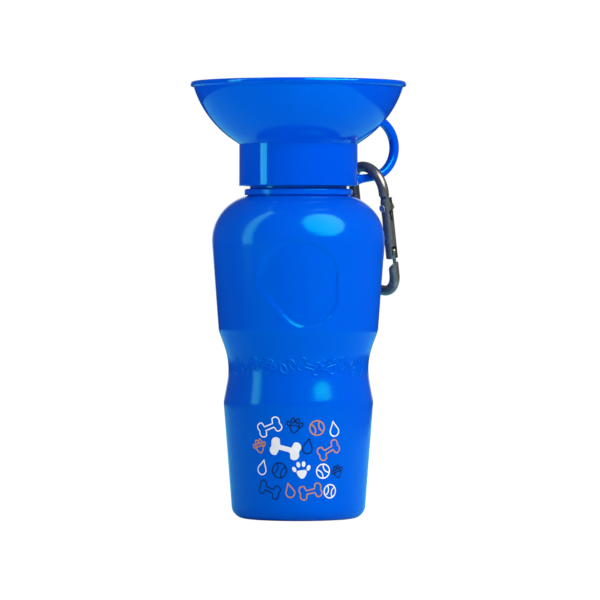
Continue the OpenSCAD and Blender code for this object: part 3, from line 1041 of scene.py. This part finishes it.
    def relief_lines(self) -> bpy.types.Object:
        """Lays out the waist's raised figures as flat lines.

        Returns:
            A mesh of edges, X in radians round the wall and Z in metres.
        """
        sizes = {Motif.BONE: 10.4, Motif.PAW: 8.8, Motif.BALL: 7.6, Motif.DROP: 7.8}
        points: list[Place] = []
        edges: list[tuple[int, int]] = []
        for k, kind in enumerate(self.relief_kinds):
            share = 2 * k / (len(self.relief_kinds) - 1) - 1
            middle = math.radians(self.relief_reach * share)
            size, lean = sizes[kind], self.relief_leans[k % 2]
            for line, closed in figure_lines(kind):
                first = len(points)
                for p in stepped(line, closed, self.relief_step / size):
                    u, v = turned(p, lean)
                    points.append((middle + size * u / self.relief_radius, 0.0,
                                   (self.relief_height + size * v) * MM))
                last = len(points) - 1
                edges += [(i, i + 1) for i in range(first, last)]
                edges += [(last, first)] if closed else []
        mesh = bpy.data.meshes.new("relief_lines")
        mesh.from_pydata(points, edges, [])
        return link("relief_lines", mesh)

    def build(self) -> None:
        """Builds the wall, the neck's thread and the grip relief, and dresses them."""
        wall = lathe("bottle_wall", self.outer + self.inner_line(), self.sides)
        self.press_panel(wall)
        crease(wall, self.sharp_from)
        dress(wall, BOTTLE_PLASTIC)
        thread = screw_thread("neck_thread", *self.thread, BOTTLE_PLASTIC)
        lines = self.relief_lines()
        relief = relief_tree().grow("grip_relief", Wall=wall, Lines=lines,
                                    Rib=self.relief_rib * MM, Sink=self.relief_sink * MM,
                                    Material=BOTTLE_PLASTIC.material())
        bpy.data.objects.remove(lines)
        hand_over(wall, "bottle", "bottle", "squeeze_bottle")
        hand_over(thread, "bottle", "bottle")
        hand_over(relief, "bottle", "bottle")


# Print

@dataclass(frozen=True)
class Stamp:
    """One figure of the print: its kind, ink, place, size and lean, and whether it is filled."""

    motif: Motif
    ink: Ink
    x: float
    z: float
    size: float
    lean: float = 0.0
    filled: bool = False


@dataclass
class Print:
    """The printed figures on the front of the lower body."""

    # The lines' width, the film's lift off the wall, the radius that the print is wrapped on,
    # and the longest steps of a line, of a filled outline and of an edge inside it
    bottle: SqueezeBottle
    line: float = 0.62
    lift: float = 0.05
    wrap_radius: float = 36.0
    line_step: float = 0.5
    fill_step: float = 0.7
    fill_edge: float = 1.2
    stamps: tuple[Stamp, ...] = (
        Stamp(Motif.BONE, Ink.WHITE, -14.5, 46.8, 11.5, 22),
        Stamp(Motif.PAW, Ink.NAVY, -1.8, 47.6, 8.0, -8),
        Stamp(Motif.BALL, Ink.ORANGE, 9.2, 46.4, 7.2, 20),
        Stamp(Motif.DROP, Ink.WHITE, 18.2, 45.4, 7.0, 12),
        Stamp(Motif.PAW, Ink.ORANGE, -20.3, 37.2, 7.4, 14),
        Stamp(Motif.BONE, Ink.WHITE, -6.6, 36.2, 14.5, -14, True),
        Stamp(Motif.DROP, Ink.NAVY, 4.6, 37.0, 7.2, -10),
        Stamp(Motif.BONE, Ink.ORANGE, 15.6, 35.4, 11.0, 28),
        Stamp(Motif.DROP, Ink.WHITE, -19.2, 26.4, 7.0, -16),
        Stamp(Motif.BALL, Ink.NAVY, -9.8, 25.4, 7.4, -24),
        Stamp(Motif.PAW, Ink.WHITE, 1.6, 25.6, 9.6, 6, True),
        Stamp(Motif.BALL, Ink.WHITE, 12.8, 25.0, 7.0, 40),
        Stamp(Motif.PAW, Ink.NAVY, 21.0, 24.6, 6.8, 18),
        Stamp(Motif.BONE, Ink.NAVY, -15.6, 15.8, 11.0, -20),
        Stamp(Motif.DROP, Ink.ORANGE, -4.4, 15.2, 6.8, 14),
        Stamp(Motif.BONE, Ink.ORANGE, 6.4, 15.0, 11.0, 12),
        Stamp(Motif.BALL, Ink.WHITE, 17.0, 15.0, 6.6, -12),
    )

    def place(self, stamp: Stamp, x: float, z: float) -> Place:
        """Puts a figure's point on the wall.

        Args:
            stamp: The figure.
            x: Its point's way across, in widths of the figure.
            z: Its point's way up.

        Returns:
            The point, just proud of the wall.
        """
        u, v = turned((x, z), stamp.lean)
        height = stamp.z + stamp.size * v
        turn = (stamp.x + stamp.size * u) / self.wrap_radius
        r = self.bottle.radius(height) + self.lift
        return (r * math.sin(turn), -r * math.cos(turn), height)

    def ribbon(self, stamp: Stamp, line: list[Point], closed: bool) -> tuple[list[Place], Faces]:
        """Draws a line of the print's width.

        Args:
            stamp: The figure.
            line: The line's points.
            closed: Whether its last point joins the first one.

        Returns:
            The points and faces of the drawn line.
        """
        pts = np.array(stepped(line, closed, self.line_step / stamp.size))
        ahead, behind = np.roll(pts, -1, 0), np.roll(pts, 1, 0)
        if not closed:
            ahead[-1], behind[0] = pts[-1], pts[0]
        way = ahead - behind
        way /= np.linalg.norm(way, axis=1)[:, None]
        side = np.stack([-way[:, 1], way[:, 0]], 1) * self.line / 2 / stamp.size
        points = [self.place(stamp, *(p + s * k)) for p, s in zip(pts, side) for k in (1, -1)]
        n = len(pts)
        pairs = [(2 * i, 2 * ((i + 1) % n)) for i in range(n if closed else n - 1)]
        return points, [[a, a + 1, b + 1, b] for a, b in pairs]

    def fill(self, stamp: Stamp, line: list[Point]) -> tuple[list[Place], Faces]:
        """Fills a closed outline with triangles that are small enough to follow the wall.

        Args:
            stamp: The figure.
            line: The outline's points.

        Returns:
            The points and faces of the filled figure.
        """
        bm = bmesh.new()
        outline = [bm.verts.new((x, 0, z)) for x, z in spaced(line, self.fill_step / stamp.size)]
        bm.faces.new(outline)
        bmesh.ops.triangulate(bm, faces=bm.faces)
        for _ in range(2):
            long = [e for e in bm.edges if e.calc_length() * stamp.size > self.fill_edge]
            bmesh.ops.subdivide_edges(bm, edges=long, cuts=1)
            bmesh.ops.triangulate(bm, faces=bm.faces)
        bm.verts.index_update()
        points = [self.place(stamp, v.co.x, v.co.z) for v in bm.verts]
        faces = [[v.index for v in f.verts] for f in bm.faces]
        bm.free()
        return points, faces

    def film(self, ink: Ink) -> bpy.types.Object:
        """Draws all figures of an ink as one thin film that faces away from the bottle.

        Args:
            ink: The ink.

        Returns:
            The film.
        """
        points: list[Place] = []
        faces: Faces = []
        for stamp in (s for s in self.stamps if s.ink is ink):
            for line, closed in figure_lines(stamp.motif):
                made = self.fill(stamp, line) if stamp.filled else self.ribbon(stamp, line, closed)
                faces += [[i + len(points) for i in f] for f in made[1]]
                points += made[0]
        film = piece(f"print_{ink.name.lower()}", np.array(points), faces)
        bm = bmesh.new()
        bm.from_mesh(film.data)
        for f in bm.faces:
            middle = f.calc_center_median()
            if f.normal.x * middle.x + f.normal.y * middle.y < 0:
                f.normal_flip()
        bm.to_mesh(film.data)
        bm.free()
        return film

    def build(self) -> None:
        """Builds one thin film for each ink."""
        for ink in Ink:
            hand_over(dress(self.film(ink), ink.finish()), "bottle", "bottle")


# Bowl

@dataclass
class DrinkingBowl:
    """The bowl with its collar, the valve's skirt, the carrying loop and the collar's thread."""

    # Collar: its radius, how much it widens to its foot, the step under the bowl as (in, up),
    # its bore, its foot and ceiling, and the heights in the bore at which the section closes
    collar: float = 29.7
    collar_draft: float = 0.05
    shadow_step: Point = (0.02, 0.2)
    bore: float = 27.0
    collar_low: float = 166.0
    ceiling: float = 186.7
    seam: Point = (176.0, 176.1)

    # Bowl: its rim's radius and height, the lip as (width, depth), where it leaves the side as
    # (in, down), and the side's arc, with its centre as (in, up) from the rim, in degrees
    rim: float = 54.05
    top: float = 218.2
    lip: Point = (3.1, 2.6)
    lip_root: Point = (1.55, 2.8)
    curve: float = 51.0
    curve_from: Point = (50.0, 13.0)
    outer_arc: Point = (-59.8, -18.5)
    inner_arc: Point = (-18.1, -55.0)
    wall: float = 2.0
    floor_edge: Corner = (30.06, 189.6, 7.5)
    floor: float = 188.7

    # Valve skirt: the outlet's radius, and the skirt's inner radius, wall and foot
    outlet: float = 5.2
    skirt: float = 7.2
    skirt_wall: float = 1.6
    skirt_low: float = 175.0

    # Mesh: faces round the axis, and degrees per step of the side, the rounds and the foot
    sides: int = 256
    side_turn: float = 2.0
    round_turn: float = 12.0
    foot_turn: float = 15.0
    sharp_from: float = 38.0

    # Thread: radius and lowest height of its middle line, turns, and radius of the rib
    thread: tuple[float, float, float, float] = (26.55, 171.3, 1.35, 1.15)

    # Loop: its turn round the bottle, its arc, the bar's rise in degrees and its depth in the
    # collar, the strap as (thickness, width), how square it is, and steps of the bar and arc
    loop_turn: float = 31.0
    loop_radius: float = 15.1
    loop_centre: Point = (41.45, 185.85)
    loop_end: float = 86.0
    bar_rise: float = 8.0
    bar_depth: float = 1.6
    strap: Point = (4.1, 4.9)
    strap_squareness: float = 0.62
    strap_sides: int = 28
    strap_steps: tuple[int, int] = (12, 60)
    loop_sharp_from: float = 60.0

    # Thicker roots as (share, reach, fade), what a share adds to the strap as (thickness,
    # width), the depth of the ends in the walls, and where the bowl starts over the ceiling
    collar_root: Place = (0.6, 6.5, 2.0)
    bowl_root: Place = (0.5, 3.0, 2.2)
    root_growth: Point = (0.5, 0.6)
    skin: float = 1.2
    bowl_from: float = 2.0

    @property
    def centre(self) -> Point:
        """The centre of the arc that the bowl's side follows."""
        return (self.rim - self.curve_from[0], self.top + self.curve_from[1])

    def section(self) -> list[Point]:
        """Draws the closed section of bowl, collar and skirt.

        Returns:
            The section, from the collar's bore out and up, over the rim and back inside.
        """
        rim, top, ceiling = self.rim, self.top, self.ceiling
        depth, height = self.shadow_step
        outer = arc(self.centre, self.curve, *self.outer_arc, self.side_turn)
        inner = arc(self.centre, self.curve - self.wall, *self.inner_arc, self.side_turn)
        start = rounded([(self.bore, self.seam[0], 0), (self.bore, self.collar_low, 0.5),
                         (self.collar + self.collar_draft, self.collar_low, 0.5),
                         (self.collar - depth, ceiling + height, 0.25),
                         (outer[0][0] + depth, outer[0][1] + height, 0)], self.foot_turn)
        lip = rounded([(*outer[-1], 0), (rim - self.lip_root[0], top - self.lip_root[1], 0.3),
                       (rim, top - self.lip[1], 1.1), (rim, top, 1.3),
                       (rim - self.lip[0], top, 1.2), (*inner[0], 0)], self.round_turn)
        skirt = self.skirt + self.skirt_wall
        floor = rounded([(*inner[-1], 0), self.floor_edge, (self.outlet, self.floor, 0.5),
                         (self.outlet, ceiling, 0.1), (self.skirt, ceiling, 0.1),
                         (self.skirt, self.skirt_low, 0.4), (skirt, self.skirt_low, 0.4),
                         (skirt, ceiling, 0.6), (self.bore, ceiling, 0.3),
                         (self.bore, self.seam[1], 0)], self.round_turn)
        return start[:-1] + outer[1:-1] + lip + inner[1:-1] + floor

    def strap_line(self) -> list[Place]:
        """Draws the strap's middle line: a straight bar that rises from the collar, and an arc.

        Returns:
            Its points as (radius, height, direction in degrees).
        """
        r, (cx, cz) = self.loop_radius, self.loop_centre
        start, rise = self.bar_rise - 90, math.radians(self.bar_rise)
        bar_steps, ring_steps = self.strap_steps
        end = (cx + r * math.cos(math.radians(start)), cz + r * math.sin(math.radians(start)))
        length = (end[0] - self.collar + self.bar_depth) / math.cos(rise)
        back = [length * (1 - k / bar_steps) for k in range(bar_steps)]
        bar = [(end[0] - math.cos(rise) * b, end[1] - math.sin(rise) * b, self.bar_rise)
               for b in back]
        ring = [(cx + r * math.cos(math.radians(a)), cz + r * math.sin(math.radians(a)), a + 90)
                for a in np.linspace(start, self.loop_end, ring_steps)]
        return bar + ring

    def loop(self) -> bpy.types.Object:
        """Makes the carrying loop, thicker where it leaves the collar and the bowl.

        Returns:
            The loop, its ends inside the walls.
        """
        line = self.strap_line()
        steps = [0.0] + [math.hypot(b[0] - a[0], b[1] - a[1]) for a, b in zip(line, line[1:])]
        run = np.cumsum(steps)
        turn = math.radians(self.loop_turn)
        out = np.array([math.cos(turn), math.sin(turn), 0])
        side = np.array([-math.sin(turn), math.cos(turn), 0])
        up = np.array([0.0, 0.0, 1.0])
        stations = []
        for (r, z, way), s in zip(line, run):
            near = fading(s, *self.collar_root) + fading(run[-1] - s, *self.bowl_root)
            a, b = (size / 2 * (1 + near * by) for size, by in zip(self.strap, self.root_growth))
            normal = -math.sin(math.radians(way)) * out + math.cos(math.radians(way)) * up
            ring = []
            for k in range(self.strap_sides):
                t = math.tau * k / self.strap_sides
                c, q = (math.copysign(abs(v) ** self.strap_squareness, v)
                        for v in (math.cos(t), math.sin(t)))
                ring.append(self.inside_wall(out * r + up * z + normal * a * q + side * b * c))
            stations.append(np.array(ring))
        return sweep("carrying_loop", stations)

    def inside_wall(self, p: np.ndarray) -> np.ndarray:
        """Keeps the strap's ends inside the walls of the collar and the bowl.

        Args:
            p: A point of the strap.

        Returns:
            The point, moved back into the wall where it had passed through.
        """
        r, z = math.hypot(p[0], p[1]), p[2]
        least = self.collar - self.skin
        if z < self.ceiling and r < least:
            return np.array([p[0] * least / r, p[1] * least / r, z])
        dx, dz = r - self.centre[0], z - self.centre[1]
        least, far = self.curve - self.skin, math.hypot(dx, dz)
        if z > self.ceiling + self.bowl_from and far < least:
            new = (self.centre[0] + dx * least / far) / r
            return np.array([p[0] * new, p[1] * new, self.centre[1] + dz * least / far])
        return p

    def build(self) -> None:
        """Builds and dresses the bowl, its loop and its thread."""
        bowl = dress(lathe("bowl_and_collar", self.section(), self.sides), BOWL_PLASTIC)
        crease(bowl, self.sharp_from)
        loop = dress(self.loop(), BOWL_PLASTIC)
        crease(loop, self.loop_sharp_from)
        thread = screw_thread("collar_thread", *self.thread, BOWL_PLASTIC)
        hand_over(bowl, "bowl", "bowl", "bowl", "bowl_collar")
        hand_over(loop, "bowl", "bowl")
        hand_over(thread, "bowl", "bowl")


# Valve

@dataclass(frozen=True)
class Valve:
    """The insert in the neck with its plug, seals and dip tube, which keep their CAD shape."""

    plastic_nodes: tuple[str, ...] = ("neck_insert",)
    tube_nodes: tuple[str, ...] = ("dip_tube",)
    rubber_nodes: tuple[str, ...] = ("insert_gasket", "spigot_seal", "valve_plug", "collar_gasket")

    def build(self) -> None:
        """Dresses the CAD nodes of the valve."""
        for finish, nodes in ((INSERT_PLASTIC, self.plastic_nodes), (TUBE_PLASTIC, self.tube_nodes),
                              (SILICONE, self.rubber_nodes)):
            for node in nodes:
                dress(frame["nodes"][node], finish)
                LOG.info("%s keeps its CAD shape in %s", node, finish.name)


# Carabiner

@dataclass
class Carabiner:
    """The wire-gate carabiner that hangs in the loop, in its CAD shape with softer edges."""

    # The edges' rounds, the spring's foot below the hinge pin, and the plunger's full travel
    wire_edge: float = 0.18
    gate_edge: float = 0.22
    rivet_edge: float = 0.12
    spring_depth: float = 18.47
    plunger_travel: float = 0.45

    @property
    def gate_way(self) -> Vector:
        """The way up the closed gate, against the way that the plunger is pressed."""
        return -Vector(joint("plunger_press")["axis"])

    @property
    def spring_foot(self) -> Vector:
        """The foot of the spring in metres, straight below the gate's hinge pin."""
        return Vector(joint("gate_open")["pos_m"]) - self.gate_way * self.spring_depth * MM

    def spring(self) -> None:
        """Builds the coil spring, which rides on the gate."""
        coil = dress(cad_copy("gate_spring", "coil_spring"), STEEL)
        hand_over(coil, "gate", "steel", "gate_spring")
        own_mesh(coil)

    def build(self) -> None:
        """Dresses the frame, gate, rivet, spring and plunger."""
        wire = dress(cad_copy("carabiner_frame", "carabiner_wire", self.wire_edge), GUNMETAL)
        gate = dress(cad_copy("carabiner_gate", "gate_tube", self.gate_edge), GUNMETAL)
        rivet = dress(cad_copy("gate_rivet", "hinge_rivet", self.rivet_edge), STEEL)
        hand_over(wire, "carabiner", "carabiner", "carabiner_frame")
        hand_over(gate, "gate", "carabiner", "carabiner_gate")
        hand_over(rivet, "gate", "steel", "gate_rivet")
        self.spring()
        dress(frame["nodes"]["gate_plunger"], STEEL)


# Studio

@dataclass(frozen=True)
class SoftBox:
    """A soft lamp: its place, size and power, the point it faces, and what it is seen by."""

    name: str
    place: Place
    size: Point
    power: float
    facing: Place = (0.0, 0.0, 0.12)
    lights: bool = True
    shines: bool = True
    shape: str = "RECTANGLE"
    spread: float = 180.0


@dataclass
class Studio:
    """The camera, floor, sky and lamps."""

    # Camera
    lens: float = 258.0
    sensor: float = 36.0
    clip: Point = (0.05, 50.0)
    eye: Place = (0.0008, -2.15, 0.131)
    look: Place = (0.0008, 0.0, 0.109)

    # Lamps: three that only light, and two that only show as highlights
    boxes: tuple[SoftBox, ...] = (
        SoftBox("key", (0.75, -0.7, 0.75), (0.7, 0.7), 9.5, shines=False),
        SoftBox("left_low", (-0.5, -0.45, 0.02), (0.3, 0.2), 0.09, (0.0, 0.0, 0.215),
                shines=False, spread=34.0),
        SoftBox("top", (0.1, 0.3, 1.4), (0.9, 0.9), 5.0, shines=False),
        SoftBox("key_shine", (0.58, -0.68, 0.82), (1.1, 1.1), 38.0, lights=False,
                shape="ELLIPSE"),
        SoftBox("strip_shine", (-0.95, -0.34, 1.19), (0.27, 2.3), 12.0, (0.0, 0.0, 1.19),
                lights=False),
    )

    # Sky: the room that gloss shows, its bright back wall and that wall's edge as a share of
    # the way straight back, the light that it gives, and its white to the camera
    room: Colour = (0.05, 0.065, 0.075)
    room_back: Colour = (0.72, 0.88, 1.0)
    back_edge: Point = (0.92, 0.98)
    fill: float = 0.54
    white: float = 1.02

    # Floor: half its side and its height in millimetres, its grey as light, its glow and how
    # much of it the camera sees, and the painted pool of light on painted shade that gloss shows,
    # in metres
    floor_half: float = 6000.0
    floor_top: float = -0.15
    floor_grey: float = 0.8
    floor_glow: float = 1.1
    floor_whiteness: float = 0.9
    # Painted light seen only by gloss: a bright pool round the bottle, painted shade beyond it
    pool_middle: Point = (-0.09, 0.28)
    pool_half: Point = (0.43, 0.72)
    pool_edge: Point = (0.97, 1.03)
    painted_pool_colour: Colour = (0.16, 0.8, 1.0)
    painted_shade_colour: Colour = (0.02, 0.03, 0.04)

    def camera(self) -> None:
        """Sets the camera at the photograph's viewing angle."""
        data = bpy.data.cameras.new("camera")
        data.lens = self.lens
        data.sensor_width = self.sensor
        data.clip_start, data.clip_end = self.clip
        obj = link("camera", data)
        aim(obj, self.eye, self.look)
        bpy.context.scene.camera = obj

    def lamp(self, box: SoftBox) -> None:
        """Adds a soft lamp that the camera doesn't see.

        Args:
            box: The lamp's values.
        """
        data = bpy.data.lights.new(box.name, "AREA")
        data.shape = box.shape
        data.spread = math.radians(box.spread)
        data.size, data.size_y = box.size
        data.energy = box.power
        obj = link(box.name, data)
        aim(obj, box.place, box.facing)
        obj.visible_camera = False
        obj.visible_diffuse = box.lights
        obj.visible_glossy = box.shines

    def sky(self) -> None:
        """Sets a sky that is white to the camera, a dark room to gloss, and grey as light."""
        world = bpy.data.worlds.new("studio")
        world.use_nodes = True
        sh = Shader(world.node_tree)
        path = sh.node("LightPath").outputs
        way = sh.node("SeparateXYZ", {0: sh.node("TexCoord").outputs["Generated"]})
        behind = sh.ramp(way.outputs["Y"], *self.back_edge)
        room = sh.mix(behind, opaque(self.room), opaque(self.room_back))
        shiny = sh.math("MAXIMUM", path["Is Glossy Ray"], path["Is Transmission Ray"])
        soft = sh.mix(shiny, opaque([self.fill] * 3), room)
        seen = sh.mix(path["Is Camera Ray"], soft, opaque([self.white] * 3))
        sh.feed(world.node_tree.nodes["Background"], {"Color": seen})
        bpy.context.scene.world = world

    def floor_material(self) -> bpy.types.Material:
        """Makes the floor white to the camera, and to gloss a painted pool of light on painted
        shade.

        Returns:
            The floor's material, which keeps a soft shadow.
        """
        made = bpy.data.materials.new("pale_floor")
        made.use_nodes = True
        nodes = made.node_tree.nodes
        nodes.remove(nodes["Principled BSDF"])
        sh = Shader(made.node_tree)
        path = sh.node("LightPath").outputs
        at = sh.node("SeparateXYZ", {0: sh.node("TexCoord").outputs["Object"]}).outputs
        # To gloss, the floor shows a painted pool of light round the bottle and painted shade
        # beyond it
        across, along = (
            sh.math("DIVIDE", sh.math("ABSOLUTE", sh.math("ADD", at[axis], -middle)), half)
            for axis, middle, half in zip("XY", self.pool_middle, self.pool_half))
        outside = sh.ramp(sh.math("MAXIMUM", across, along), *self.pool_edge)
        lit = sh.mix(outside, opaque(self.painted_pool_colour), opaque(self.painted_shade_colour))
        shade = sh.mix(path["Is Glossy Ray"], opaque([self.floor_grey] * 3), lit)
        matt = sh.node("BsdfDiffuse", {"Color": shade}).outputs[0]
        glow = sh.node("Emission", {"Color": (1, 1, 1, 1), "Strength": self.floor_glow}).outputs[0]
        seen = sh.math("MAXIMUM", path["Is Camera Ray"], path["Is Transmission Ray"])
        share = sh.math("MULTIPLY", seen, self.floor_whiteness)
        both = sh.node("MixShader", {0: share, 1: matt, 2: glow})
        sh.feed(nodes["Material Output"], {"Surface": both.outputs[0]})
        return made

    def floor(self) -> None:
        """Lays the pale floor."""
        half, z = self.floor_half, self.floor_top
        corners = [(-half, -half, z), (half, -half, z), (half, half, z), (-half, half, z)]
        floor = piece("floor", np.array(corners), [[0, 1, 2, 3]])
        floor.data.materials.append(self.floor_material())

    def build(self) -> None:
        """Sets up the whole studio."""
        bpy.context.scene.view_settings.view_transform = "Standard"
        self.camera()
        self.sky()
        self.floor()
        for box in self.boxes:
            self.lamp(box)


def main() -> None:
    """Builds the object piece by piece and sets up the studio."""
    logging.basicConfig(level=logging.INFO, format="%(name)s: %(message)s")
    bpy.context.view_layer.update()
    bottle = SqueezeBottle()
    bottle.build()
    Print(bottle).build()
    DrinkingBowl().build()
    Valve().build()
    Carabiner().build()
    Studio().build()


if __name__ == "__main__":
    main()
